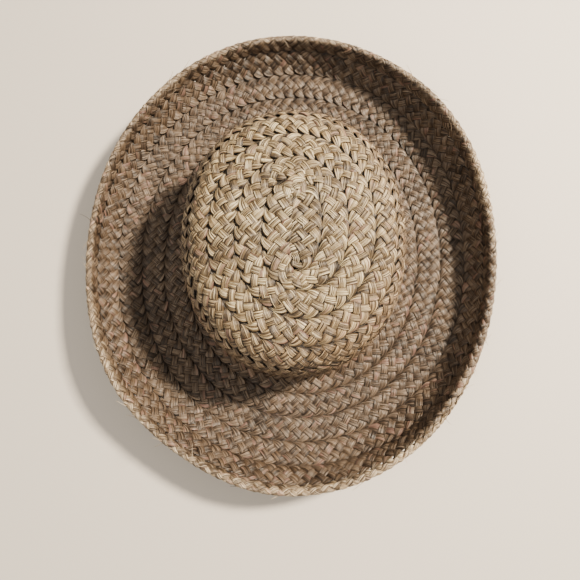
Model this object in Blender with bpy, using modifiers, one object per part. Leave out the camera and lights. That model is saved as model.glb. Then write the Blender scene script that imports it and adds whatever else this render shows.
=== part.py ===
"""Braided raffia sun hat: an oval crown, a turned-up brim and the brim's rolled edge.

Each piece is an open grid of rings laid along the hat's surface and thickened by a Solidify
modifier. The surface is followed outward from the crown's tip: a slope table says how steep it
is, and the plan of every ring is a circle stretched along Y by a short core line.
The hat stands on Z = 0 with its long axis along Y. The wide front of the brim faces -Y.
"""
import math

import bmesh
import bpy
import numpy as np

# Driving sizes in metres
CROWN_ARC = 0.155       # along the surface from the crown's tip to its foot
BRIM_ARC = 0.090        # along the brim from the crown's foot to the rolled edge, at its narrowest
EDGE_ARC = 0.012        # along the rolled edge row where it is narrowest
EDGE_RADIUS = 0.004     # outer radius of the rolled edge where it is fullest
EDGE_STRAIGHT = 0.0016  # part of the edge row that runs on from the brim before it rolls over
CORE_TIP = 0.025        # half length of the oval's core line at the crown's tip
CORE_DOME = 0.013       # the same on the dome
CORE_WALL = 0.017       # the same at the crown's side wall
CORE_BRIM = 0.018       # the same at the brim's edge
CORE_FULLNESS = 0.6     # 1 makes the plan an ellipse, less makes its sides straighter
WALL = 0.0026           # thickness of the braid, two strands deep
GROOVE_DEPTH = 0.0009   # dip where two rows of braid meet
PIECE_GAP = 0.0003      # between neighbouring pieces
SEGMENTS = 60           # facets round the hat
STEP = 0.0005           # spacing of the samples that the surface is followed with

# Crown surface: share of CROWN_ARC, slope down in degrees
CROWN_SLOPE = (
    (0.00, 1.0),
    (0.15, 4.0),
    (0.30, 8.0),
    (0.42, 14.0),
    (0.62, 76.0),
    (0.70, 86.0),
    (0.94, 88.0),
    (1.00, 60.0),
)

# Core line along the crown: share of CROWN_ARC, half length
CROWN_CORE = (
    (0.00, CORE_TIP),
    (0.10, 0.5 * (CORE_TIP + CORE_DOME)),
    (0.20, CORE_DOME),
    (0.38, CORE_DOME),
    (0.60, CORE_WALL),
    (1.00, CORE_WALL),
)

# Brim surface: shares of BRIM_ARC at which BRIM_SLOPE gives the slope
BRIM_STATIONS = (0.0, 0.07, 0.09, 0.22, 0.40, 0.60, 0.80, 0.98)

# Brim: azimuth in degrees, then the slope up in degrees at each station
BRIM_SLOPE = (
    (0, (-60, -4, 0, 0, 2, 14, 68, 84)),
    (45, (-60, -4, 0, 0, 20, 16, 64, 74)),
    (90, (-60, -4, 0, 0, 24, 20, 62, 76)),
    (135, (-60, -4, 0, 0, 16, 22, 70, 80)),
    (180, (-60, -4, 0, 0, 0, 20, 52, 84)),
    (225, (-60, -4, 0, 0, 0, 26, 58, 70)),
    (270, (-60, -4, 0, 0, 0, 26, 50, 64)),
    (315, (-60, -4, 0, 0, 0, 22, 66, 80)),
)

# Rim: azimuth in degrees, share of BRIM_ARC where the edge starts, share of EDGE_ARC it is wide,
# share of EDGE_RADIUS it is rolled with
RIM = (
    (0, 0.945, 1.60, 1.00),
    (14, 0.970, 1.50, 1.00),
    (30, 0.995, 1.00, 0.90),
    (60, 0.985, 1.00, 0.80),
    (90, 1.000, 1.00, 0.75),
    (115, 1.010, 1.00, 0.75),
    (135, 0.995, 1.00, 0.75),
    (180, 0.990, 1.00, 0.75),
    (212, 1.060, 1.00, 0.75),
    (225, 1.030, 1.00, 0.75),
    (240, 0.980, 1.00, 0.75),
    (257, 1.065, 1.00, 0.75),
    (270, 1.065, 1.00, 0.75),
    (300, 1.035, 1.25, 0.90),
    (330, 0.935, 1.50, 1.00),
    (352, 0.940, 1.60, 1.00),
)

# Rings on the crown: share of CROWN_ARC, 1 in the groove between two rows and 0 on a row
FIRST_GROOVE = 0.139
ROW_SHARE = 0.1264
CREST_SHARES = (0.040, 0.088)       # past every groove but the last
FOOT_SHARES = (0.0626, 0.0146)      # short of the crown's foot, on the last row
GROOVES = [FIRST_GROOVE + ROW_SHARE * row for row in range(7)]
CROWN_RINGS = [(0.035, 0), (0.085, 0)]
for groove in GROOVES[:-1]:
    CROWN_RINGS += [(groove, 1)]
    CROWN_RINGS += [(groove + share, 0) for share in CREST_SHARES]
CROWN_RINGS += [(GROOVES[-1], 1)]
CROWN_RINGS += [(1.0 - share, 0) for share in FOOT_SHARES]

# Rings on the brim: share of the brim's width, 1 in a groove and 0 on a row
BRIM_RINGS = [
    (0.0, 0), (0.035, 0), (0.07, 0), (0.10, 0), (0.20, 0),
    (0.265, 0), (0.335, 0), (0.405, 0),
    (0.478, 0.3), (0.545, 0), (0.620, 0),
    (0.690, 1), (0.760, 0), (0.830, 0),
    (0.905, 1), (0.980, 0), (1.0, 0),
]

# Rings on the rolled edge after its straight part: shares of the curl, which is half a turn
EDGE_RINGS = (0.0, 0.2, 0.4, 0.6, 0.8)

COLORS = {
    "crown": "BEA482",
    "brim": "7E6A5A",
    "brim_edge": "8A7461",
}
COLLECTION = "raffia_sun_hat"


def linear_color(hex_code):
    """Turn an sRGB hex code into the linear RGBA that a shader expects."""
    values = [int(hex_code[i:i + 2], 16) / 255 for i in (0, 2, 4)]
    linear = [v / 12.92 if v <= 0.04045 else ((v + 0.055) / 1.055) ** 2.4 for v in values]
    return (*linear, 1.0)


def round_the_hat(azimuths, values, azimuth):
    """Read a table that repeats every 360 degrees, averaged over 24 degrees so it has no kinks."""
    shifts = np.arange(-12, 13, 4)
    return float(np.mean(np.interp(azimuth + shifts, azimuths, values, period=360)))


def follow(slopes):
    """Add up level and upward travel along samples STEP apart whose slopes are in radians."""
    middle = 0.5 * (slopes[1:] + slopes[:-1])
    out = np.concatenate([[0.0], np.cumsum(np.cos(middle)) * STEP])
    up = np.concatenate([[0.0], np.cumsum(np.sin(middle)) * STEP])
    return out, up


def core_offset(half_length, angle):
    """Shift along Y that stretches a circle into the hat's oval, smooth all the way round."""
    s, c = math.sin(angle), math.cos(angle)
    return half_length * s / math.sqrt(s * s + (CORE_FULLNESS * c) ** 2)


class Meridian:
    """The hat's surface in one direction: reach from the core line and height, by arc length."""

    def __init__(self, azimuth):
        self.angle = math.radians(azimuth)
        azimuths = [row[0] for row in RIM]
        self.brim_width = BRIM_ARC * round_the_hat(azimuths, [row[1] for row in RIM], azimuth)
        self.edge_width = EDGE_ARC * round_the_hat(azimuths, [row[2] for row in RIM], azimuth)
        radius = EDGE_RADIUS * round_the_hat(azimuths, [row[3] for row in RIM], azimuth)
        crown = np.arange(0.0, CROWN_ARC + STEP / 2, STEP)
        shares = [row[0] for row in CROWN_SLOPE]
        slope = -np.radians(np.interp(crown / CROWN_ARC, shares, [row[1] for row in CROWN_SLOPE]))
        reach, height = follow(slope)
        brim = np.arange(0.0, self.brim_width + self.edge_width + 2 * STEP, STEP)
        table = [row[0] for row in BRIM_SLOPE]
        nodes = [
            round_the_hat(table, [row[1][i] for row in BRIM_SLOPE], azimuth)
            for i in range(len(BRIM_STATIONS))
        ]
        lie = np.interp(brim / BRIM_ARC, BRIM_STATIONS, nodes)
        start = float(np.interp(self.brim_width / BRIM_ARC, BRIM_STATIONS, nodes))
        curl_start = self.brim_width + EDGE_STRAIGHT
        roll = start - np.degrees((brim - curl_start) / radius)
        lie = np.where(brim > self.brim_width, np.clip(roll, -86.0, start), lie)
        self.curl = min(math.radians(start + 86) * radius, self.edge_width - EDGE_STRAIGHT)
        brim_reach, brim_height = follow(np.radians(lie))
        floor = float(np.interp(BRIM_ARC * 0.15, brim, brim_height))
        foot_height = WALL - floor
        self.arc = np.concatenate([crown, crown[-1] + brim[1:]])
        self.reach = np.concatenate([reach, reach[-1] + brim_reach[1:]])
        self.height = np.concatenate([height - height[-1], brim_height[1:]]) + foot_height
        self.foot = float(crown[-1])

    def core(self, arc):
        """Half length of the core line at an arc length from the tip."""
        if arc <= self.foot:
            shares = [row[0] for row in CROWN_CORE]
            return float(np.interp(arc / self.foot, shares, [row[1] for row in CROWN_CORE]))
        share = min((arc - self.foot) / BRIM_ARC, 1.0)
        return CORE_WALL + (CORE_BRIM - CORE_WALL) * share

    def point(self, arc, sink):
        """Point on the outer surface, moved into it by sink."""
        reach = float(np.interp(arc, self.arc, self.reach))
        height = float(np.interp(arc, self.arc, self.height))
        ahead = float(np.interp(arc + STEP, self.arc, self.height))
        behind = float(np.interp(arc - STEP, self.arc, self.height))
        out = float(np.interp(arc + STEP, self.arc, self.reach))
        back = float(np.interp(arc - STEP, self.arc, self.reach))
        slope = math.atan2(ahead - behind, out - back)
        reach += sink * math.sin(slope)
        height -= sink * math.cos(slope)
        x = reach * math.cos(self.angle)
        y = reach * math.sin(self.angle) + core_offset(self.core(arc), self.angle)
        return (x, y, height)


def make_material(name, hex_code):
    """Plain dry straw."""
    material = bpy.data.materials.new(name)
    material.use_nodes = True
    shader = material.node_tree.nodes["Principled BSDF"]
    shader.inputs["Base Color"].default_value = linear_color(hex_code)
    shader.inputs["Roughness"].default_value = 0.75
    shader.inputs["Metallic"].default_value = 0.0
    return material


def make_shell(name, rings, closed_tip, collection, material):
    """Join rings of points with quads, outer side up, and thicken them inward."""
    mesh = bpy.data.meshes.new(name)
    bm = bmesh.new()
    loops = [[bm.verts.new(point) for point in ring] for ring in rings]
    count = len(loops[0])
    for inner, outer in zip(loops, loops[1:]):
        for i in range(count):
            j = (i + 1) % count
            bm.faces.new((inner[i], outer[i], outer[j], inner[j]))
    if closed_tip:
        # The tip is a narrow oval, closed by a strip of quads across its core line
        tip = loops[0]
        quarter = count // 4
        half = quarter + quarter
        for i in range(quarter, quarter + half):
            a, b = i % count, (i + 1) % count
            c, d = (half - 1 - a) % count, (half - 1 - b) % count
            corners = list(dict.fromkeys((tip[a], tip[b], tip[d], tip[c])))
            if len(corners) > 2:
                bm.faces.new(corners)
    bmesh.ops.recalc_face_normals(bm, faces=bm.faces)
    bm.normal_update()
    if sum(face.normal.z * face.calc_area() for face in bm.faces) < 0:
        bmesh.ops.reverse_faces(bm, faces=bm.faces)
    bm.to_mesh(mesh)
    bm.free()
    for polygon in mesh.polygons:
        polygon.use_smooth = True
    mesh.materials.append(material)
    shell = bpy.data.objects.new(name, mesh)
    collection.objects.link(shell)
    solidify = shell.modifiers.new("wall", "SOLIDIFY")
    solidify.thickness = WALL
    solidify.offset = -1.0
    solidify.use_even_offset = True
    solidify.use_rim = True
    return shell


def build():
    for old in list(bpy.data.objects):
        bpy.data.objects.remove(old, do_unlink=True)
    collection = bpy.data.collections.new(COLLECTION)
    bpy.context.scene.collection.children.link(collection)
    meridians = [Meridian((i + 0.5) * 360.0 / SEGMENTS) for i in range(SEGMENTS)]
    half_gap = PIECE_GAP / 2

    def ring(place, groove):
        """One ring of points: place maps a meridian to an arc length."""
        return [line.point(place(line), groove * GROOVE_DEPTH) for line in meridians]

    crown = [ring(lambda m, s=share: s * m.foot, groove) for share, groove in CROWN_RINGS]
    crown.append(ring(lambda m: m.foot - half_gap, 0))
    brim = []
    for share, groove in BRIM_RINGS:
        brim.append(ring(
            lambda m, s=share: m.foot + half_gap + s * (m.brim_width - PIECE_GAP), groove))
    edge = [ring(lambda m: m.foot + m.brim_width + half_gap, 0)]
    for share in EDGE_RINGS:
        edge.append(ring(
            lambda m, s=share: m.foot + m.brim_width + EDGE_STRAIGHT + s * m.curl, 0))
    edge.append(ring(lambda m: m.foot + m.brim_width + m.edge_width, 0))

    # The middle of the hat's outline stands on the origin
    outline = np.array(edge).reshape(-1, 3)
    middle = 0.5 * (outline.min(axis=0) + outline.max(axis=0))
    middle[2] = 0.0
    crown, brim, edge = (np.array(rings) - middle for rings in (crown, brim, edge))

    make_shell("crown", crown, True, collection, make_material("faded_raffia", COLORS["crown"]))
    make_shell("brim", brim, False, collection, make_material("taupe_raffia", COLORS["brim"]))
    make_shell("brim_edge", edge, False, collection,
               make_material("edge_raffia", COLORS["brim_edge"]))


build()
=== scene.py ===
"""Look of a braided raffia sun hat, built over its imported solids.

The hat is one long plait of five strands. It starts at the crown's tip, is wound round it row
after row, and ends folded under the brim's rolled edge. Every strand is real geometry here: a
ribbon that crosses from one side of its row to the other and back, over one strand and under
the next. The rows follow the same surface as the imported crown, brim and brim_edge.
Lengths are metres. The hat stands on Z = 0 with its long axis along Y.
"""

import math

import bpy
import numpy as np
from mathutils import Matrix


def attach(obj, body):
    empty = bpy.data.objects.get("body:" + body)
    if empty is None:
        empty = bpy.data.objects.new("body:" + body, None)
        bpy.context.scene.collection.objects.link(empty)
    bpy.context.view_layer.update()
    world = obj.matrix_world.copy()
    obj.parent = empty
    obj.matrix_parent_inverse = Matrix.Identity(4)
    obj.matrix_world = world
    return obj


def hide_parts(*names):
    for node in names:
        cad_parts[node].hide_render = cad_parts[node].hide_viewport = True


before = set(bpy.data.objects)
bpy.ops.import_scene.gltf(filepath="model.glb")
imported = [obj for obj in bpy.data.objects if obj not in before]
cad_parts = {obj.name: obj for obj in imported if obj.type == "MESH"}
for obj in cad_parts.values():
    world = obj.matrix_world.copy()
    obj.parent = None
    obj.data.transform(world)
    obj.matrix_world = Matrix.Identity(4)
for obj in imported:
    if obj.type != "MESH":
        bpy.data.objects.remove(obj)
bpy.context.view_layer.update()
rng = np.random.default_rng(11)

# Sizes of the hat's surface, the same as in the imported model
CROWN_ARC = 0.155
BRIM_ARC = 0.090
EDGE_ARC = 0.012
EDGE_RADIUS = 0.004
EDGE_STRAIGHT = 0.0016
CORE_TIP, CORE_DOME, CORE_WALL, CORE_BRIM = 0.025, 0.013, 0.017, 0.018
CORE_FULLNESS = 0.6
WALL = 0.0026
STEP = 0.0005            # spacing of the samples along a meridian
REST_SHARE = 0.15        # share of BRIM_ARC at which the brim touches the table
ROLL_END = -86.0         # slope in degrees at which the rolled edge stops turning
PAST_TIP = 0.015         # the surface is worked out this far past the tip
PAST_FOOT = 0.125        # and this far past the crown's foot
RIM_FROM = 0.05          # only points this far past the foot can lie on the hat's outline
TIP_LEVEL = 0.006        # arc from the tip within which the surface faces straight up
SMOOTHING = np.arange(-12, 13, 4)    # degrees over which tables round the hat are averaged

# Share of CROWN_ARC, slope down in degrees
CROWN_SLOPE = (
    (0.00, 1.0), (0.15, 4.0), (0.30, 8.0), (0.42, 14.0),
    (0.62, 76.0), (0.70, 86.0), (0.94, 88.0), (1.00, 60.0),
)
# Share of CROWN_ARC, half length of the core line
CROWN_CORE = (
    (0.00, CORE_TIP), (0.10, 0.5 * (CORE_TIP + CORE_DOME)), (0.20, CORE_DOME),
    (0.38, CORE_DOME), (0.60, CORE_WALL), (1.00, CORE_WALL),
)
# Shares of BRIM_ARC at which BRIM_SLOPE gives the slope
BRIM_STATIONS = (0.0, 0.07, 0.09, 0.22, 0.40, 0.60, 0.80, 0.98)
# Azimuth in degrees, then the slope up in degrees at each station
BRIM_SLOPE = (
    (0, (-60, -4, 0, 0, 2, 14, 68, 84)),
    (45, (-60, -4, 0, 0, 20, 16, 64, 74)),
    (90, (-60, -4, 0, 0, 24, 20, 62, 76)),
    (135, (-60, -4, 0, 0, 16, 22, 70, 80)),
    (180, (-60, -4, 0, 0, 0, 20, 52, 84)),
    (225, (-60, -4, 0, 0, 0, 26, 58, 70)),
    (270, (-60, -4, 0, 0, 0, 26, 50, 64)),
    (315, (-60, -4, 0, 0, 0, 22, 66, 80)),
)
# Azimuth in degrees, share of BRIM_ARC where the edge starts, share of EDGE_ARC it is wide,
# share of EDGE_RADIUS it is rolled with
RIM = (
    (0, 0.945, 1.60, 1.00),
    (14, 0.970, 1.50, 1.00),
    (30, 0.995, 1.00, 0.90),
    (60, 0.985, 1.00, 0.80),
    (90, 1.000, 1.00, 0.75),
    (115, 1.010, 1.00, 0.75),
    (135, 0.995, 1.00, 0.75),
    (180, 0.990, 1.00, 0.75),
    (212, 1.060, 1.00, 0.75),
    (225, 1.030, 1.00, 0.75),
    (240, 0.980, 1.00, 0.75),
    (257, 1.065, 1.00, 0.75),
    (270, 1.065, 1.00, 0.75),
    (300, 1.035, 1.25, 0.90),
    (330, 0.935, 1.50, 1.00),
    (352, 0.940, 1.60, 1.00),
)

# Sizes of the plait and its row
ROW_PITCH = 0.0196       # width of one row of plait
SEAM_AT_RIGHT = 0.0361   # arc from the tip to the first row's outer edge, at azimuth 0
SPIRAL_SHIFT = 0.0033    # the spiral's middle lies this far to +X of the crown's
START_TURN = -1.34       # turns before azimuth 0 at which the plait starts
END_TURN = 12.0 + 16.0 / 360.0
LAST_TURN = END_TURN - 1.0    # where the row that is rolled over begins
LAST_ROW_ONSET = 0.03    # turns over which that row takes on its own form
STEEP_TURN = 9.0         # from here the brim turns up
TURN_SAMPLES = 16000
LOOSE_START = 0.0038     # the first row, bent tightest, is wider by this
LOOSE_UNTIL, LOOSE_FADE = -0.22, 0.2    # in turns

# Sizes of a strand
STRANDS = 5
PERIOD = 0.048           # along the row, from one edge to the other and back
KEEN = 0.88              # 1 gives straight runs with sharp turns, less rounds the turns
STRAND_WIDTH = 0.0066
STRAND_THICK = 0.0013
OVER_THICKER = 0.15      # thicker by this share where it lies over another, and thinner under it
WEAVE_RISE = 0.00078     # how far a strand rises or dips where it crosses another
STATION = 0.0017         # spacing of a strand's sections along the row
CENTRE_SINK = 0.0010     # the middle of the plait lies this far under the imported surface
SIDE_SINK = 0.00080      # and its sides lie this much lower still
FIBRE_DIP = 0.50         # grooves between a strand's fibres, share of its half thickness
WRAP_TURN, WRAP_FADE = 8.0, 0.5    # from here strands bend with the surface across their width

# Share of STRAND_WIDTH: as a rule, more in the leaf that follows each turn, less at the turn
FILL, LEAF_MORE, TURN_LESS = 0.88, 0.36, 0.40
LEAF_PLACE, LEAF_SPREAD = 0.12, 0.06    # of the period, after each turn
STEEP_MORE = 0.17        # wider by this share where the brim is steep, so no light comes through
SQUEEZE = (0.25, 1.05)   # limits of the row's width, as a share of ROW_PITCH, that strands follow

# How far strands go towards the row's sides, as a rule and more on the steep rows
REACH, STEEP_REACH = 0.88, 0.05
STEEP_REACH_TURN, STEEP_REACH_FADE = 9.5, 0.8

# Where a strand turns back at the row's side, it dips under the next row
DIP_FROM, DIP_DEPTH, DIP_POWER = 0.62, 0.0009, 1.4

# The last row: its outer side dips less, its weave is flatter and it lies a little higher
EDGE_DIP_LESS, EDGE_WEAVE_LESS, EDGE_RAISE = 0.6, 0.35, 0.0002

# Both ends of the plait are narrowed and tucked under: length, depth and share of the width
END_TUCK = (0.020, 0.0035, 0.5)
START_TUCK = (0.012, 0.002, 0.4)

# The sewn lap under every seam between two rows
LAP_WIDTH, LAP_THICK = 0.0056, 0.0005
LAP_DEPTH = 0.0024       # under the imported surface
LAP_STATION = 0.0040
FIRST_LAP_TURN = -0.2    # up to about here the first row has no row inside it to lap
LAST_LAP_LESS = 0.6      # narrower by this share under the last row

# The colours fade with the arc. On the crown's front right the fade runs ahead by this share,
# most at this azimuth in radians. Where the edge is wide, on the lit right side, the rim's pale
# line starts sooner: painted light on the lit lip
FADE_AHEAD, FADE_AZIMUTH, FADE_FULL = 0.13, -1.05, 0.4
LIP_LIGHT_AHEAD, LIP_LIGHT_WIDER, LIP_LIGHT_ONSET = 0.055, 0.6, 0.05

# Loose ends of fibre. A third of them stand at the brim's edge
LOOSE_FIBRES = 420
LOOSE_CROWD = 0.6                 # below 1 the others crowd towards the brim
LOOSE_STOP = 0.02                 # none in the plait's last stretch, in turns
LOOSE_LEAN = (0.6, 0.25)          # mean and spread of the angle to the row, in radians
LOOSE_LENGTH = (0.004, 0.012)
LOOSE_LIFT = (0.05, 0.45)         # share of the length
LOOSE_BEND = (-0.5, 0.5)          # share of the length
LOOSE_RADIUS, LOOSE_TAPER = 0.00022, 0.6
LOOSE_ROOT = 0.0006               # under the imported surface
LOOSE_TONE = 0.37                 # steps the streaks from one loose fibre to the next

# Middles of the small pits by the top's far end, where the first row folds back tightly
PITS = ((-0.0090, 0.0360), (0.0080, 0.0306), (0.0010, 0.0240))
PIT_DEPTH, PIT_RADIUS, PITS_UNTIL = 0.0026, 0.0034, 1.5

# Small wanderings along the plait: speed against the turns, size, first seed
WAVES = (1.7, 4.3, 9.1, 17.0)
SEAM_WANDER = (1.0, 0.00035, 5)
PHASE_WANDER = (1.0, 0.004, 40)
WIDTH_WANDER = (7.3, 0.05, 60)
REACH_WANDER = (5.1, 0.012, 80)
THICK_WANDER = (11.0, 0.05, 90)
FIBRE_PLACE_WANDER = (6.0, 0.030, 200)
FIBRE_DIP_WANDER = (9.0, 0.06, 200)
FIBRE_TOP_WANDER = (8.0, 0.07, 200)

# The hat's surface as a table over azimuth and arc from the crown's tip
TABLE_AZ = np.arange(0.0, 361.0, 1.0)
TABLE_ARC = np.arange(-PAST_TIP, CROWN_ARC + PAST_FOOT, STEP)


def unit(vectors):
    """Vectors of length one, along the last axis."""
    return vectors / np.maximum(np.linalg.norm(vectors, axis=-1, keepdims=True), 1e-12)


def ramp_up(value, start, width):
    """0 up to start, 1 from start + width on, and straight between them."""
    return np.clip((value - start) / width, 0, 1)


def round_the_hat(azimuths, values, azimuth):
    """Read a table that repeats every 360 degrees, averaged over SMOOTHING so it has no kinks."""
    spread = np.interp(np.asarray(azimuth)[..., None] + SMOOTHING, azimuths, values, period=360)
    return spread.mean(axis=-1)


def rim_arc(azimuth):
    """Arc from the tip to the outer end of the rolled edge."""
    angles = [row[0] for row in RIM]
    start = BRIM_ARC * round_the_hat(angles, [row[1] for row in RIM], azimuth)
    width = EDGE_ARC * round_the_hat(angles, [row[2] for row in RIM], azimuth)
    return CROWN_ARC + start + width


def follow(slopes):
    """Add up level and upward travel along samples STEP apart whose slopes are in radians."""
    middle = 0.5 * (slopes[1:] + slopes[:-1])
    out = np.concatenate([[0.0], np.cumsum(np.cos(middle)) * STEP])
    up = np.concatenate([[0.0], np.cumsum(np.sin(middle)) * STEP])
    return out, up


def meridian(azimuth):
    """Reach from the core line and height of the surface in one direction, at TABLE_ARC."""
    angles = [row[0] for row in RIM]
    brim_width = BRIM_ARC * float(round_the_hat(angles, [row[1] for row in RIM], azimuth))
    radius = EDGE_RADIUS * float(round_the_hat(angles, [row[3] for row in RIM], azimuth))
    crown = np.arange(0.0, CROWN_ARC + STEP / 2, STEP)
    slope = -np.radians(np.interp(crown / CROWN_ARC, *zip(*CROWN_SLOPE)))
    reach, height = follow(slope)
    brim = np.arange(0.0, PAST_FOOT, STEP)
    table = [row[0] for row in BRIM_SLOPE]
    nodes = [
        float(round_the_hat(table, [row[1][i] for row in BRIM_SLOPE], azimuth))
        for i in range(len(BRIM_STATIONS))
    ]
    lie = np.interp(brim / BRIM_ARC, BRIM_STATIONS, nodes)
    start = float(np.interp(brim_width / BRIM_ARC, BRIM_STATIONS, nodes))
    roll = start - np.degrees((brim - brim_width - EDGE_STRAIGHT) / radius)
    lie = np.where(brim > brim_width, np.clip(roll, ROLL_END, start), lie)
    brim_reach, brim_height = follow(np.radians(lie))
    floor = float(np.interp(BRIM_ARC * REST_SHARE, brim, brim_height))
    arc = np.concatenate([crown, crown[-1] + brim[1:]])
    reach = np.concatenate([reach, reach[-1] + brim_reach[1:]])
    height = np.concatenate([height - height[-1], brim_height[1:]]) + WALL - floor
    reach = np.where(TABLE_ARC < 0, TABLE_ARC, np.interp(TABLE_ARC, arc, reach))
    return reach, np.interp(TABLE_ARC, arc, height)


def core_length(arc):
    """Half length of the core line at an arc length from the tip."""
    share = np.interp(arc / CROWN_ARC, *zip(*CROWN_CORE))
    brim = np.clip((arc - CROWN_ARC) / BRIM_ARC, 0.0, 1.0)
    return share + (CORE_BRIM - CORE_WALL) * brim


def surface_table():
    """Points and upward normals of the hat's surface at every table azimuth and arc.

    A point lies at its meridian's reach from the core line, whose own end in that direction is
    added along Y. The middle of the hat's outline stands on the origin.
    """
    points = np.zeros((len(TABLE_AZ), len(TABLE_ARC), 3))
    cores = core_length(TABLE_ARC)
    for i, azimuth in enumerate(TABLE_AZ):
        reach, height = meridian(azimuth)
        sine, cosine = math.sin(math.radians(azimuth)), math.cos(math.radians(azimuth))
        fullness = math.sqrt(sine * sine + (CORE_FULLNESS * cosine) ** 2)
        points[i, :, 0] = reach * cosine
        points[i, :, 1] = reach * sine + cores * sine / fullness
        points[i, :, 2] = height
    rim = points[:, TABLE_ARC > CROWN_ARC + RIM_FROM]
    middle = 0.5 * (rim.min(axis=(0, 1)) + rim.max(axis=(0, 1)))
    middle[2] = 0.0
    points -= middle
    along = np.gradient(points, axis=1)
    wrapped = np.concatenate([points[-2:-1], points, points[1:2]])
    around = (wrapped[2:] - wrapped[:-2]) * 0.5
    normals = unit(np.cross(along, around))
    # At the core line the direction round the hat has no length, so the dome's top faces up
    normals[:, TABLE_ARC < TIP_LEVEL] = (0.0, 0.0, 1.0)
    return points, normals


POINTS, NORMALS = surface_table()


def on_surface(arc, turn, table):
    """Values of a table of the surface at arcs and turns, by linear interpolation."""
    azimuth = np.mod(turn, 1.0) * 360.0
    row = np.clip(azimuth.astype(int), 0, len(TABLE_AZ) - 2)
    past_row = (azimuth - row)[..., None]
    place = np.clip((arc - TABLE_ARC[0]) / STEP, 0, len(TABLE_ARC) - 1.001)
    column = place.astype(int)
    past = (place - column)[..., None]
    here = table[row, column] * (1 - past) + table[row, column + 1] * past
    there = table[row + 1, column] * (1 - past) + table[row + 1, column + 1] * past
    return here * (1 - past_row) + there * past_row


# The plait's path
def waver(turn, wander, number=0):
    """Slow, small, repeatable wandering: a few sines of unlike lengths, added up."""
    speed, size, seed = wander
    draw = np.random.default_rng(seed + number)
    turn = turn * speed
    total = np.zeros_like(turn)
    for wave in WAVES:
        total += np.sin(turn * wave * 2 * np.pi + draw.uniform(0, 6.28)) / math.sqrt(wave)
    return total * size


def seam(turn):
    """Arc from the tip to the seam on the outer side of the row at that many turns."""
    spiral = SEAM_AT_RIGHT + ROW_PITCH * turn
    shift = SPIRAL_SHIFT * np.cos(turn * 2 * np.pi)
    return spiral + shift + waver(turn, SEAM_WANDER)


def row_edges(turn):
    """Arcs of the inner and outer side of the row. The last turn stops at the rolled edge."""
    loosen = LOOSE_START * np.clip((LOOSE_UNTIL - turn) / LOOSE_FADE, 0, 1)
    inner = seam(turn - 1) - loosen
    outer = np.minimum(seam(turn), rim_arc(np.mod(turn, 1.0) * 360.0))
    return inner, outer


TURNS = np.linspace(START_TURN, END_TURN, TURN_SAMPLES)
INNER, OUTER = row_edges(TURNS)
ROW_WIDTH = OUTER - INNER
MIDDLE = on_surface(0.5 * (INNER + OUTER), TURNS, POINTS)
LENGTHS = np.concatenate([[0], np.cumsum(np.linalg.norm(np.diff(MIDDLE, axis=0), axis=1))])


def side_to_side(phase):
    """Place across the row from -1 to 1 at a share of the period, straight with round turns."""
    return np.arcsin(KEEN * -np.cos(2 * np.pi * phase)) / math.asin(KEEN)


def over_under(phase):
    """Rise from -1 to 1: over at 0.1, 0.3, 0.6 and 0.8 of the period, under between them."""
    marks = [-0.1, 0.1, 0.2, 0.3, 0.4, 0.6, 0.7, 0.8, 0.9, 1.1]
    rises = [-1, 1, -1, 1, -1, 1, -1, 1, -1, 1]
    place = np.mod(phase, 1.0)
    gap = np.clip(np.searchsorted(marks, place, side="right") - 1, 0, len(marks) - 2)
    start, stop = np.array(marks)[gap], np.array(marks)[gap + 1]
    share = 0.5 - 0.5 * np.cos(np.pi * (place - start) / (stop - start))
    return np.array(rises)[gap] * (1 - share) + np.array(rises)[gap + 1] * share


# Section of a strand: across in half widths, up in half thicknesses. Five fibres side by side
# make its upper side, with a point on each fibre and one between each two, and two points its
# back. The lap under a seam has the same section, without the grooves.
ACROSS = np.concatenate([np.linspace(1.0, -1.0, 11), [-0.55, 0.55]])
ARCH = np.concatenate([(1 - np.abs(np.linspace(1.0, -1.0, 11)) ** 2.4) ** 0.6, [-0.9, -0.9]])
BETWEEN = np.array([0, 0, 1, 0, 1, 0, 1, 0, 1, 0, 0, 0, 0])


def fibre_section(turn, number):
    """Section at every turn: the fibres' widths and heights drift slowly along the strand."""
    across = np.repeat(ACROSS[None], len(turn), axis=0)
    up = np.repeat(ARCH[None], len(turn), axis=0)
    for point in range(1, 10):
        own = 20 * number + point
        if BETWEEN[point]:
            across[:, point] += waver(turn, FIBRE_PLACE_WANDER, own)
            up[:, point] -= FIBRE_DIP + waver(turn, FIBRE_DIP_WANDER, own)
        else:
            up[:, point] += waver(turn, FIBRE_TOP_WANDER, own)
    return across, up


def wrap(arc, turn, offset, height):
    """Section points laid on the surface at offsets from a path on it, then raised by height.

    An offset's share along the meridian is added to the arc and its share round the hat to the
    turn, so a wide ribbon bends with the rolled edge.
    """
    nudge = 0.001
    out = unit(on_surface(arc + STEP, turn, POINTS) - on_surface(arc - STEP, turn, POINTS))
    ahead = on_surface(arc, turn + nudge, POINTS) - on_surface(arc, turn - nudge, POINTS)
    speed = np.maximum(np.linalg.norm(ahead, axis=1), 1e-9) / (2 * nudge)
    ahead /= (speed * (2 * nudge))[:, None]
    ring_arc = arc[:, None] + (offset * out[:, None]).sum(axis=2)
    ring_turn = turn[:, None] + (offset * ahead[:, None]).sum(axis=2) / speed[:, None]
    normal = unit(on_surface(ring_arc, ring_turn, NORMALS))
    return on_surface(ring_arc, ring_turn, POINTS) + normal * height


def across_and_up(path, normal):
    """Directions of length one across a path on the surface and up from it."""
    run = unit(np.gradient(path, axis=-2))
    side = unit(np.cross(normal, run))
    return side, np.cross(run, side)


def tucks(along):
    """0 along the plait, rising to 1 at its end and at its start."""
    end, start = END_TUCK[0], START_TUCK[0]
    return ramp_up(along, LENGTHS[-1] - end, end), np.clip((start - along) / start, 0, 1)


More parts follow.
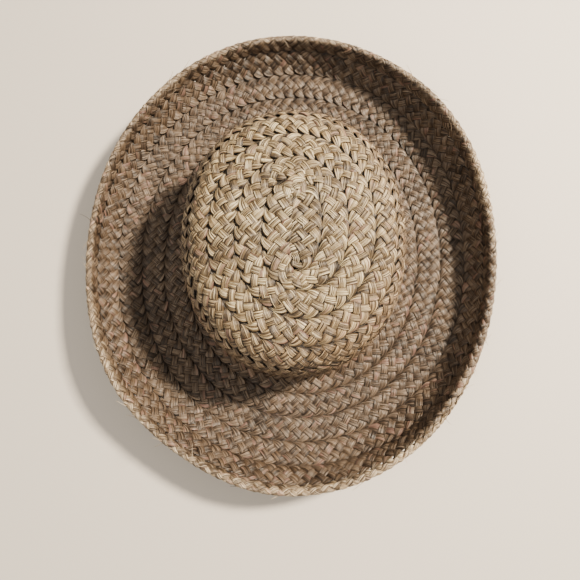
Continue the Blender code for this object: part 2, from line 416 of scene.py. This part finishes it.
def strand_width(along, turn, phase, across, number):
    """Width: broad in each leaf, narrow at each turn, and less where the row is narrow."""
    squeeze = np.clip(np.interp(turn, TURNS, ROW_WIDTH) / ROW_PITCH, *SQUEEZE) ** 0.5
    leaf = np.exp(-((np.mod(phase, 0.5) - LEAF_PLACE) / LEAF_SPREAD) ** 2)
    wide = STRAND_WIDTH * squeeze * (FILL + LEAF_MORE * leaf - TURN_LESS * across ** 6)
    wide = wide * (1 + STEEP_MORE * ramp_up(turn, STEEP_TURN, 1.0))
    wide = wide * (1 + waver(turn, WIDTH_WANDER, number))
    tuck_end, tuck_start = tucks(along)
    return wide * (1 - END_TUCK[2] * tuck_end) * (1 - START_TUCK[2] * tuck_start)


def strand_height(along, turn, across, rise, place):
    """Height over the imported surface: the weave's rise, less what sinks, dips, tucks and pits."""
    last_row = ramp_up(turn, LAST_TURN, LAST_ROW_ONSET)
    dip = ramp_up(np.abs(across), DIP_FROM, 1 - DIP_FROM) ** DIP_POWER
    outer_less = 1 - EDGE_DIP_LESS * last_row * (across > 0)
    side_drop = SIDE_SINK * across ** 2 + DIP_DEPTH * dip * outer_less
    tuck_end, tuck_start = tucks(along)
    height = rise * WEAVE_RISE * (1 - EDGE_WEAVE_LESS * last_row) - CENTRE_SINK - side_drop
    height = height + EDGE_RAISE * last_row
    height = height - END_TUCK[1] * tuck_end ** 2 - START_TUCK[1] * tuck_start ** 2
    for x, y in PITS:
        away = (place[:, 0] - x) ** 2 + (place[:, 1] - y) ** 2
        height = height - PIT_DEPTH * np.exp(-away / PIT_RADIUS ** 2) * (turn < PITS_UNTIL)
    return height


def strand_sections(number, from_turn, to_turn):
    """Sections of one strand between two turns, with what the material needs of each.

    Follows the row by its middle length. At each station the strand's place across the row is
    side_to_side, its rise is over_under and its section is fibre_section. The section is flat on
    the crown and bent with the surface on the brim.
    """
    start, stop = np.interp([from_turn, to_turn], TURNS, LENGTHS)
    marks = np.arange(math.ceil(start / STATION), math.floor(stop / STATION) + 1) * STATION
    beyond = 2 * STATION
    along = np.concatenate([[start - beyond, start], marks, [stop, stop + beyond]])
    along = np.unique(np.clip(along, 0, LENGTHS[-1]))
    turn = np.interp(along, LENGTHS, TURNS)
    inner, outer = np.interp(turn, TURNS, INNER), np.interp(turn, TURNS, OUTER)
    phase = along / PERIOD + number / STRANDS + waver(turn, PHASE_WANDER, number)
    across, rise = side_to_side(phase), over_under(phase)
    reach = REACH + STEEP_REACH * ramp_up(turn, STEEP_REACH_TURN, STEEP_REACH_FADE)
    reach = reach + waver(turn, REACH_WANDER, number)
    arc = 0.5 * (inner + outer) + 0.5 * (outer - inner) * across * reach
    centre = on_surface(arc, turn, POINTS)
    normal = unit(on_surface(arc, turn, NORMALS))
    height = strand_height(along, turn, across, rise, centre)
    wide = strand_width(along, turn, phase, across, number)
    thick = STRAND_THICK * (1 + OVER_THICKER * rise + waver(turn, THICK_WANDER, number))
    centre = centre + normal * height[:, None]
    side, up = across_and_up(centre, normal)
    section_across, section_up = fibre_section(turn, number)
    offset = side[:, None] * (section_across * 0.5 * wide[:, None])[..., None]
    lift = (section_up * 0.5 * thick[:, None])[..., None]
    flat = centre[:, None] + offset + up[:, None] * lift
    curved = wrap(arc, turn, offset, height[:, None, None] + lift)
    blend = ramp_up(turn, WRAP_TURN, WRAP_FADE)[:, None, None]
    ring = flat * (1 - blend) + curved * blend
    ring[..., 2] = np.maximum(ring[..., 2], 0.0)
    # The sections beyond both ends only steady the directions, except at the plait's own ends
    keep = slice(int(from_turn > START_TURN), len(along) - int(to_turn < END_TURN))
    facts = {"along": along[keep], "rise": rise[keep], "arc": arc[keep], "turn": turn[keep]}
    return ring[keep], facts


def seam_lap(from_turn, to_turn):
    """Sections of the flat lap under the seams, where one row's edge is sewn under the next."""
    start, stop = np.interp([from_turn, to_turn], TURNS, LENGTHS)
    along = np.linspace(start, stop, int((stop - start) / LAP_STATION) + 2)
    turn = np.interp(along, LENGTHS, TURNS)
    arc = np.interp(turn, TURNS, INNER)
    normal = unit(on_surface(arc, turn, NORMALS))
    side, _ = across_and_up(on_surface(arc, turn, POINTS), normal)
    wide = LAP_WIDTH * (1 + ramp_up(turn, STEEP_TURN, 1.0))
    wide = wide * (1 - LAST_LAP_LESS * ramp_up(turn, LAST_TURN, LAST_ROW_ONSET))
    offset = side[:, None] * (ACROSS * 0.5 * wide[:, None])[..., None]
    ring = wrap(arc, turn, offset, (ARCH * 0.5 * LAP_THICK)[None, :, None] - LAP_DEPTH)
    ring[..., 2] = np.maximum(ring[..., 2], 0.0)
    # A rise of -1 gives the lap the material's full painted shade, as for a strand under another
    facts = {"along": along, "rise": np.full(len(along), -1.0), "arc": arc, "turn": turn}
    return ring, facts


def fill_mesh(name, points, corners, starts):
    """Mesh from whole arrays: points, the corners of every face in turn, where each face starts."""
    mesh = bpy.data.meshes.new(name)
    mesh.vertices.add(len(points))
    mesh.vertices.foreach_set("co", np.ascontiguousarray(points, np.float32).ravel())
    mesh.loops.add(len(corners))
    mesh.loops.foreach_set("vertex_index", corners.astype(np.int32))
    mesh.polygons.add(len(starts))
    mesh.polygons.foreach_set("loop_start", starts.astype(np.int32))
    mesh.update(calc_edges=True)
    mesh.validate()
    mesh.polygons.foreach_set("use_smooth", np.ones(len(mesh.polygons), bool))
    return mesh


def tube_faces(sections, sides, base):
    """Corner lists of a closed tube: quads from section to section, then a cap at each end."""
    section = np.arange(sections - 1)[:, None] * sides
    side = np.arange(sides)[None, :]
    beside = (side + 1) % sides
    corners = [section + side, section + beside, section + sides + beside, section + sides + side]
    quads = np.stack(corners, axis=-1).reshape(-1, 4) + base
    first = base + np.arange(sides)[::-1]
    last = base + (sections - 1) * sides + np.arange(sides)
    return quads, first, last


def add_vectors(mesh, name, values):
    """Store one vector per point for the material to read."""
    layer = mesh.attributes.new(name, "FLOAT_VECTOR", "POINT")
    layer.data.foreach_set("vector", np.ascontiguousarray(values, np.float32).ravel())


def join_tubes(name, tubes):
    """One piece out of several tubes.

    A tube is a ring of points per section, with two vectors per point. The first, fibre, is the
    length along the strand, the place across it and the strand's number. The second,
    fade_and_shade, is how far the colour has faded and how far the strand has risen, from which
    the material paints shade where the strand dips.
    """
    points, quads, caps, fibre, fade_and_shade = [], [], [], [], []
    base = 0
    for ring, fibre_values, worn_values in tubes:
        sections, sides = ring.shape[:2]
        body, first, last = tube_faces(sections, sides, base)
        quads.append(body)
        caps += [first, last]
        points.append(ring.reshape(-1, 3))
        fibre.append(fibre_values.reshape(-1, 3))
        fade_and_shade.append(worn_values.reshape(-1, 3))
        base += sections * sides
    quads = np.concatenate(quads)
    corners = np.concatenate([quads.ravel(), *caps])
    cap_starts = quads.size + np.arange(len(caps)) * len(caps[0])
    starts = np.concatenate([np.arange(len(quads)) * 4, cap_starts])
    mesh = fill_mesh(name, np.concatenate(points), corners, starts)
    add_vectors(mesh, "fibre", np.concatenate(fibre))
    add_vectors(mesh, "fade_and_shade", np.concatenate(fade_and_shade))
    piece = bpy.data.objects.new(name, mesh)
    bpy.context.scene.collection.objects.link(piece)
    return piece


def fade_and_lip_light(arc, turn):
    """How far the colour has faded: arc / CROWN_ARC with two small shifts, one of them painted lip
    light.
    """
    share = arc / CROWN_ARC
    front_right = np.clip(np.cos(turn * 2 * np.pi - FADE_AZIMUTH), 0, 1) * (share < 1)
    ahead = FADE_AHEAD * front_right * np.clip(share / FADE_FULL, 0, 1) * (1 - share)
    wide = np.interp(np.mod(turn, 1.0) * 360, [row[0] for row in RIM],
                     [row[2] for row in RIM], period=360)
    near_rim = np.clip((turn - LAST_TURN) / LIP_LIGHT_ONSET + 1, 0, 1)
    # Painted light on the lit lip: where the edge is wide the pale rim colour starts sooner
    return share + ahead + LIP_LIGHT_AHEAD * np.clip((wide - 1) / LIP_LIGHT_WIDER, 0, 1) * near_rim


def braid(name, from_turn, to_turn):
    """The plait between two turns as one piece: its strands, then the laps under its seams."""
    runs = [strand_sections(number, from_turn, to_turn) for number in range(STRANDS)]
    runs.append(seam_lap(max(from_turn, FIRST_LAP_TURN), to_turn))
    tubes = []
    for number, (ring, facts) in enumerate(runs):
        fibre, fade_and_shade = np.zeros_like(ring), np.zeros_like(ring)
        fibre[..., 0] = facts["along"][:, None]
        fibre[..., 1] = ACROSS
        fibre[..., 2] = number
        fade_and_shade[..., 0] = fade_and_lip_light(facts["arc"], facts["turn"])[:, None]
        fade_and_shade[..., 1] = facts["rise"][:, None]
        tubes.append((ring, fibre, fade_and_shade))
    return join_tubes(name, tubes)


def stray_fibres(count):
    """Loose ends of fibre that stand off the plait: thin curved tubes, more at the brim's edge.

    Each starts on the surface, leans away from the row's direction, rises with the power 1.5 of
    its length and bends sideways with its square.
    """
    sides, sections = 4, 6
    turns = START_TURN + (END_TURN - START_TURN) * rng.random(count) ** LOOSE_CROWD
    turns[: count // 3] = rng.uniform(LAST_TURN, END_TURN - LOOSE_STOP, count // 3)
    inner, outer = row_edges(turns)
    arc = inner + (outer - inner) * rng.random(count)
    root = on_surface(arc, turns, POINTS)
    normal = on_surface(arc, turns, NORMALS)
    nudge = 0.002
    ahead = unit(on_surface(arc, turns + nudge, POINTS) - root)
    outward = np.cross(ahead, normal)
    angle = rng.choice([-1, 1], count) * rng.normal(*LOOSE_LEAN, count)
    lean = ahead * np.cos(angle)[:, None] + outward * np.sin(angle)[:, None]
    lean *= rng.choice([-1, 1], (count, 1))
    length = rng.uniform(*LOOSE_LENGTH, count)[:, None]
    lift = rng.uniform(*LOOSE_LIFT, count)[:, None]
    bend = rng.uniform(*LOOSE_BEND, count)[:, None]
    share = np.linspace(0, 1, sections)
    path = (
        root[:, None]
        + lean[:, None] * (share * length)[..., None]
        + normal[:, None] * (length * lift * share ** 1.5 - LOOSE_ROOT)[..., None]
        + np.cross(lean, normal)[:, None] * (length * bend * share ** 2)[..., None]
    )
    side, up = across_and_up(path, normal[:, None])
    radius = (LOOSE_RADIUS * (1 - LOOSE_TAPER * share))[:, None, None]
    around = (np.arange(sides) / sides * 2 * np.pi)[None, :, None]
    ring = (
        path[:, :, None]
        + side[:, :, None] * (np.cos(around) * radius)
        + up[:, :, None] * (np.sin(around) * radius)
    )
    ring[..., 2] = np.maximum(ring[..., 2], 0.0)
    fibre, fade_and_shade = np.zeros_like(ring), np.zeros_like(ring)
    fibre[..., 0] = (np.arange(count) * LOOSE_TONE)[:, None, None]
    fade_and_shade[..., 0] = (arc / CROWN_ARC)[:, None, None]
    fade_and_shade[..., 1] = 1.0
    return join_tubes("stray_fibres", list(zip(ring, fibre, fade_and_shade)))


# Materials
def linear(hex_code):
    """sRGB hex code as linear RGBA."""
    values = [int(hex_code[i:i + 2], 16) / 255 for i in (0, 2, 4)]
    return tuple(v / 12.92 if v <= 0.04045 else ((v + 0.055) / 1.055) ** 2.4
                 for v in values) + (1.0,)


def add_node(tree, kind, settings, stops=(), **inputs):
    """A node with its settings, the (place, hex code) stops of its ramp, and its inputs.

    An input is named by its label, or by i and its number. It is a value, a socket to link from,
    or a node whose first output in use is linked.
    """
    node = tree.nodes.new(kind)
    for key, value in settings.items():
        setattr(node, key, value)
    for number, (place, hex_code) in enumerate(stops):
        elements = node.color_ramp.elements
        element = elements[number] if number < len(elements) else elements.new(1.0)
        element.position = place
        element.color = linear(hex_code)
    for key, value in inputs.items():
        socket = node.inputs[int(key[1:]) if key[1:].isdigit() else key]
        if isinstance(value, bpy.types.Node):
            value = next(output for output in value.outputs if output.enabled)
        if isinstance(value, bpy.types.NodeSocket):
            tree.links.new(value, socket)
        else:
            socket.default_value = value
    return node


# Patterns of the raffia: counts per metre along a strand, then per half of its 6.6 mm width.
# The lines along real leaf fibre are too fine to show, so the fibres are drawn 0.7 mm apart
LANES = 4.5                      # fibres per half width
LANE_EDGE = (70.0, 0.6)          # a fibre's edge wanders every 14 mm
LANE_WANDER, LANE_START = 0.9, 0.05    # and this far, in fibres, from this place
LANE_TONE = (32.0, 5.3)          # a fibre changes tone every 31 mm, and from fibre to fibre
STRAND_TONE = (36.0, 0.15)       # the whole strand changes tone every 28 mm
STREAK = (60.0, 7.0)             # streaks are 17 mm long and 0.5 mm wide
PINK = (21.0, 0.5)               # pinkish stretches come every 37 mm, with PINK_SCALE
PINK_SCALE, PINK_FROM, PINK_SHARE = 1.3, 0.66, 0.25
STRAND_APART = 7.3               # each strand has its own stretch of the pattern
FADE_SCALE = 0.56                # puts the whole fade on a colour ramp from 0 to 1
RELIEF_FADE = (0.55, 1.0)        # between these fades the weave's contrast goes down
RELIEF_SHARE = (0.95, 0.54)      # from the first share to the second
BUMP_DEPTH = 0.0008              # of the grooves and streaks that only the light sees


def raffia_material(name):
    """Dry raffia: split leaf fibre, plaited while damp and faded by the sun.

    It gives the eye a soft satin along the strand, straw tan on the crown's top and mauve brown
    lower down, and painted shade: fine dark lines between its fibres, dark sides and darker dips
    under the next strand. Each pattern is noise stretched along the strand, and darkens the
    colour through a ramp of its own.
    """
    material = bpy.data.materials.new(name)
    material.use_nodes = True
    tree = material.node_tree
    shader = tree.nodes["Principled BSDF"]
    fibre = add_node(tree, "ShaderNodeAttribute", {"attribute_name": "fibre"}).outputs["Vector"]
    fade_and_shade = add_node(tree, "ShaderNodeAttribute", {"attribute_name": "fade_and_shade"}).outputs["Vector"]
    fade_plus_lip_light, rise, _ = add_node(tree, "ShaderNodeSeparateXYZ", {}, i0=fade_and_shade).outputs
    along, across, strand = add_node(tree, "ShaderNodeSeparateXYZ", {}, i0=fibre).outputs

    def grain(place, counts, scale=1.0, detail=1.0):
        """Noise over a place whose parts are first multiplied by the counts."""
        stretched = add_node(tree, "ShaderNodeVectorMath", {"operation": "MULTIPLY"},
                             i0=place, i1=(*counts, STRAND_APART))
        return add_node(tree, "ShaderNodeTexNoise", {}, i0=stretched, Scale=scale,
                        Detail=detail, Roughness=0.6)

    def darkened(base, share, pattern, stops):
        """The colour multiplied by a pattern's ramp, as far as share says."""
        tone = add_node(tree, "ShaderNodeValToRGB", {}, stops, i0=pattern)
        return add_node(tree, "ShaderNodeMix", {"data_type": "RGBA", "blend_type": "MULTIPLY"},
                        i0=share, i6=base, i7=tone)

    wobble = add_node(tree, "ShaderNodeMath", {"operation": "MULTIPLY_ADD"},
                      i0=grain(fibre, LANE_EDGE), i1=LANE_WANDER, i2=LANE_START)
    lane = add_node(tree, "ShaderNodeMath", {"operation": "MULTIPLY_ADD"},
                    i0=across, i1=LANES, i2=wobble)
    lane_number = add_node(tree, "ShaderNodeMath", {"operation": "FLOOR"}, i0=lane)
    in_lane = add_node(tree, "ShaderNodeMath", {"operation": "FRACT"}, i0=lane)
    in_lane = add_node(tree, "ShaderNodeMath", {"operation": "SUBTRACT"}, i0=in_lane, i1=0.5)
    in_lane = add_node(tree, "ShaderNodeMath", {"operation": "ABSOLUTE"}, i0=in_lane)
    lane_place = add_node(tree, "ShaderNodeCombineXYZ", {}, i0=along, i1=lane_number, i2=strand)
    streak = grain(fibre, STREAK, detail=2.0)
    off_middle = add_node(tree, "ShaderNodeMath", {"operation": "ABSOLUTE"}, i0=across)

    # Straw tan at the tip, brown on the wall, mauve brown on the brim and pale on the edge. Where
    # the edge is wide the pale comes sooner, as painted light on the lit lip
    place = add_node(tree, "ShaderNodeMath", {"operation": "MULTIPLY"}, i0=fade_plus_lip_light, i1=FADE_SCALE)
    base = add_node(tree, "ShaderNodeValToRGB", {}, [
        (0.00, "FFF9DA"), (0.22, "FFF5D0"), (0.33, "DCCAAC"), (0.45, "AC9A87"),
        (0.66, "908274"), (0.885, "918375"), (0.925, "FFF4DC"),
    ], i0=place)
    # How far the weave's contrast shows: high on the crown's top and lower on the brim
    relief = add_node(tree, "ShaderNodeMapRange", {}, i0=fade_plus_lip_light,
                      i1=RELIEF_FADE[0], i2=RELIEF_FADE[1],
                      i3=RELIEF_SHARE[0], i4=RELIEF_SHARE[1])
    base = darkened(base, 0.95, grain(lane_place, LANE_TONE),
                    [(0.38, "5E5044"), (0.5, "CFC4B6"), (0.58, "FFFFFF")])
    base = darkened(base, relief, streak,
                    [(0.40, "4A4036"), (0.48, "D8D0C8"), (0.58, "FFFFFF")])
    # Painted shade: dark lines in the grooves between fibres, and dark sides where a strand goes
    # under the next
    base = darkened(base, 0.9, in_lane,
                    [(0.26, "FFFFFF"), (0.40, "9A8C7E"), (0.48, "32281F")])
    # Painted shade at a strand's sides, where it meets and goes under the next
    base = darkened(base, relief, off_middle,
                    [(0.0, "FFFFFF"), (0.70, "FFFFFF"), (0.86, "8A7A68"), (1.0, "2A2018")])
    base = darkened(base, 0.8, grain(fibre, STRAND_TONE),
                    [(0.38, "A0968E"), (0.5, "E4E0DA"), (0.62, "FFFCF4")])
    pink = add_node(tree, "ShaderNodeMath", {"operation": "GREATER_THAN"},
                    i0=grain(fibre, PINK, PINK_SCALE), i1=PINK_FROM)
    pink = add_node(tree, "ShaderNodeMath", {"operation": "MULTIPLY"}, i0=pink, i1=PINK_SHARE)
    base = add_node(tree, "ShaderNodeMix", {"data_type": "RGBA", "blend_type": "MIX"},
                    i0=pink, i6=base, i7=linear("B48C80"))
    # Painted shade: a strand darkens where it dips under another
    height = add_node(tree, "ShaderNodeMath", {"operation": "MULTIPLY_ADD"},
                      i0=rise, i1=0.5, i2=0.5)
    base = darkened(base, relief, height, [(0.0, "3A3028"), (0.46, "FFFFFF")])

    groove = add_node(tree, "ShaderNodeMath", {"operation": "POWER"}, i0=in_lane, i1=3.0)
    ridges = add_node(tree, "ShaderNodeMath", {"operation": "SUBTRACT"}, i0=streak, i1=groove)
    bump = add_node(tree, "ShaderNodeBump", {}, Strength=1.0, Distance=BUMP_DEPTH, Height=ridges)
    tree.links.new(base.outputs[2], shader.inputs["Base Color"])
    tree.links.new(bump.outputs[0], shader.inputs["Normal"])
    shader.inputs["Roughness"].default_value = 0.42
    shader.inputs["Specular IOR Level"].default_value = 0.6
    shader.inputs["Metallic"].default_value = 0.0
    return material


def matt_board_material(name, hex_code):
    """Board painted with matt emulsion: an even pale colour that mirrors nothing."""
    material = bpy.data.materials.new(name)
    material.use_nodes = True
    shader = material.node_tree.nodes["Principled BSDF"]
    shader.inputs["Base Color"].default_value = linear(hex_code)
    shader.inputs["Roughness"].default_value = 0.8
    return material


# Pieces of the hat
RAFFIA = raffia_material("raffia")
FOOT_TURN = (CROWN_ARC + ROW_PITCH / 2 - SEAM_AT_RIGHT) / ROW_PITCH
WALL_TURN = 3.3          # the crown's top and wall are two pieces, for the triangles' sake
PIECES = (
    ("crown_top_braid", START_TURN, WALL_TURN, "crown", "faded_raffia"),
    ("crown_wall_braid", WALL_TURN, FOOT_TURN, "crown", "faded_raffia"),
    ("brim_floor_braid", FOOT_TURN, STEEP_TURN, "brim", "taupe_raffia"),
    ("brim_rise_braid", STEEP_TURN, LAST_TURN, "brim", "taupe_raffia"),
    ("edge_braid", LAST_TURN, END_TURN, "brim_edge", "edge_raffia"),
)
for piece_name, from_turn, to_turn, node, slot in PIECES:
    piece = braid(piece_name, from_turn, to_turn)
    piece.data.materials.append(RAFFIA)
    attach(piece, "root")
    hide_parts(node)

loose = stray_fibres(LOOSE_FIBRES)
loose.data.materials.append(RAFFIA)
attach(loose, "root")

# Floor, light and camera
HAT_MIDDLE = (0, 0, 0.03)
FLOOR_GAP = 0.0004       # the floor lies this far under the hat, so no faces coincide
bpy.ops.mesh.primitive_plane_add(size=6.0, location=(0, 0, -FLOOR_GAP))
floor = bpy.context.object
floor.name = "floor"
floor.data.materials.append(matt_board_material("pale_floor", "DAD6D0"))


def area_light(name, place, size, watts, hex_code):
    """Square soft light at a place, turned to face the hat's middle."""
    data = bpy.data.lights.new(name, "AREA")
    data.shape = "SQUARE"
    data.size = size
    data.energy = watts
    data.color = linear(hex_code)[:3]
    light = bpy.data.objects.new(name, data)
    bpy.context.scene.collection.objects.link(light)
    light.location = place
    away = unit(np.array(place) - np.array(HAT_MIDDLE))
    light.rotation_euler = (math.acos(away[2]), 0.0, math.atan2(away[1], away[0]) + math.pi / 2)


area_light("key_light", place=(0.95, 0.40, 1.09), size=0.18, watts=78.0, hex_code="FFEBD0")
area_light("fill_light", place=(-0.9, -0.5, 1.3), size=1.2, watts=7.0, hex_code="FFF4E6")
world = bpy.data.worlds.new("studio")
bpy.context.scene.world = world
world.use_nodes = True
background = world.node_tree.nodes["Background"]
background.inputs["Color"].default_value = linear("F6E8D6")
background.inputs["Strength"].default_value = 0.66

CAMERA_PLACE = (-0.0022, -0.0854, 0.3853)
CAMERA_TILT = 8.5        # the view's tilt in degrees from straight down, towards +Y
LENS_MM, SENSOR_MM = 27.06, 36.0
camera_data = bpy.data.cameras.new("camera")
camera_data.lens = LENS_MM
camera_data.sensor_width = SENSOR_MM
camera_data.dof.use_dof = False
camera = bpy.data.objects.new("camera", camera_data)
bpy.context.scene.collection.objects.link(camera)
camera.location = CAMERA_PLACE
camera.rotation_euler = (math.radians(CAMERA_TILT), 0.0, 0.0)
bpy.context.scene.camera = camera
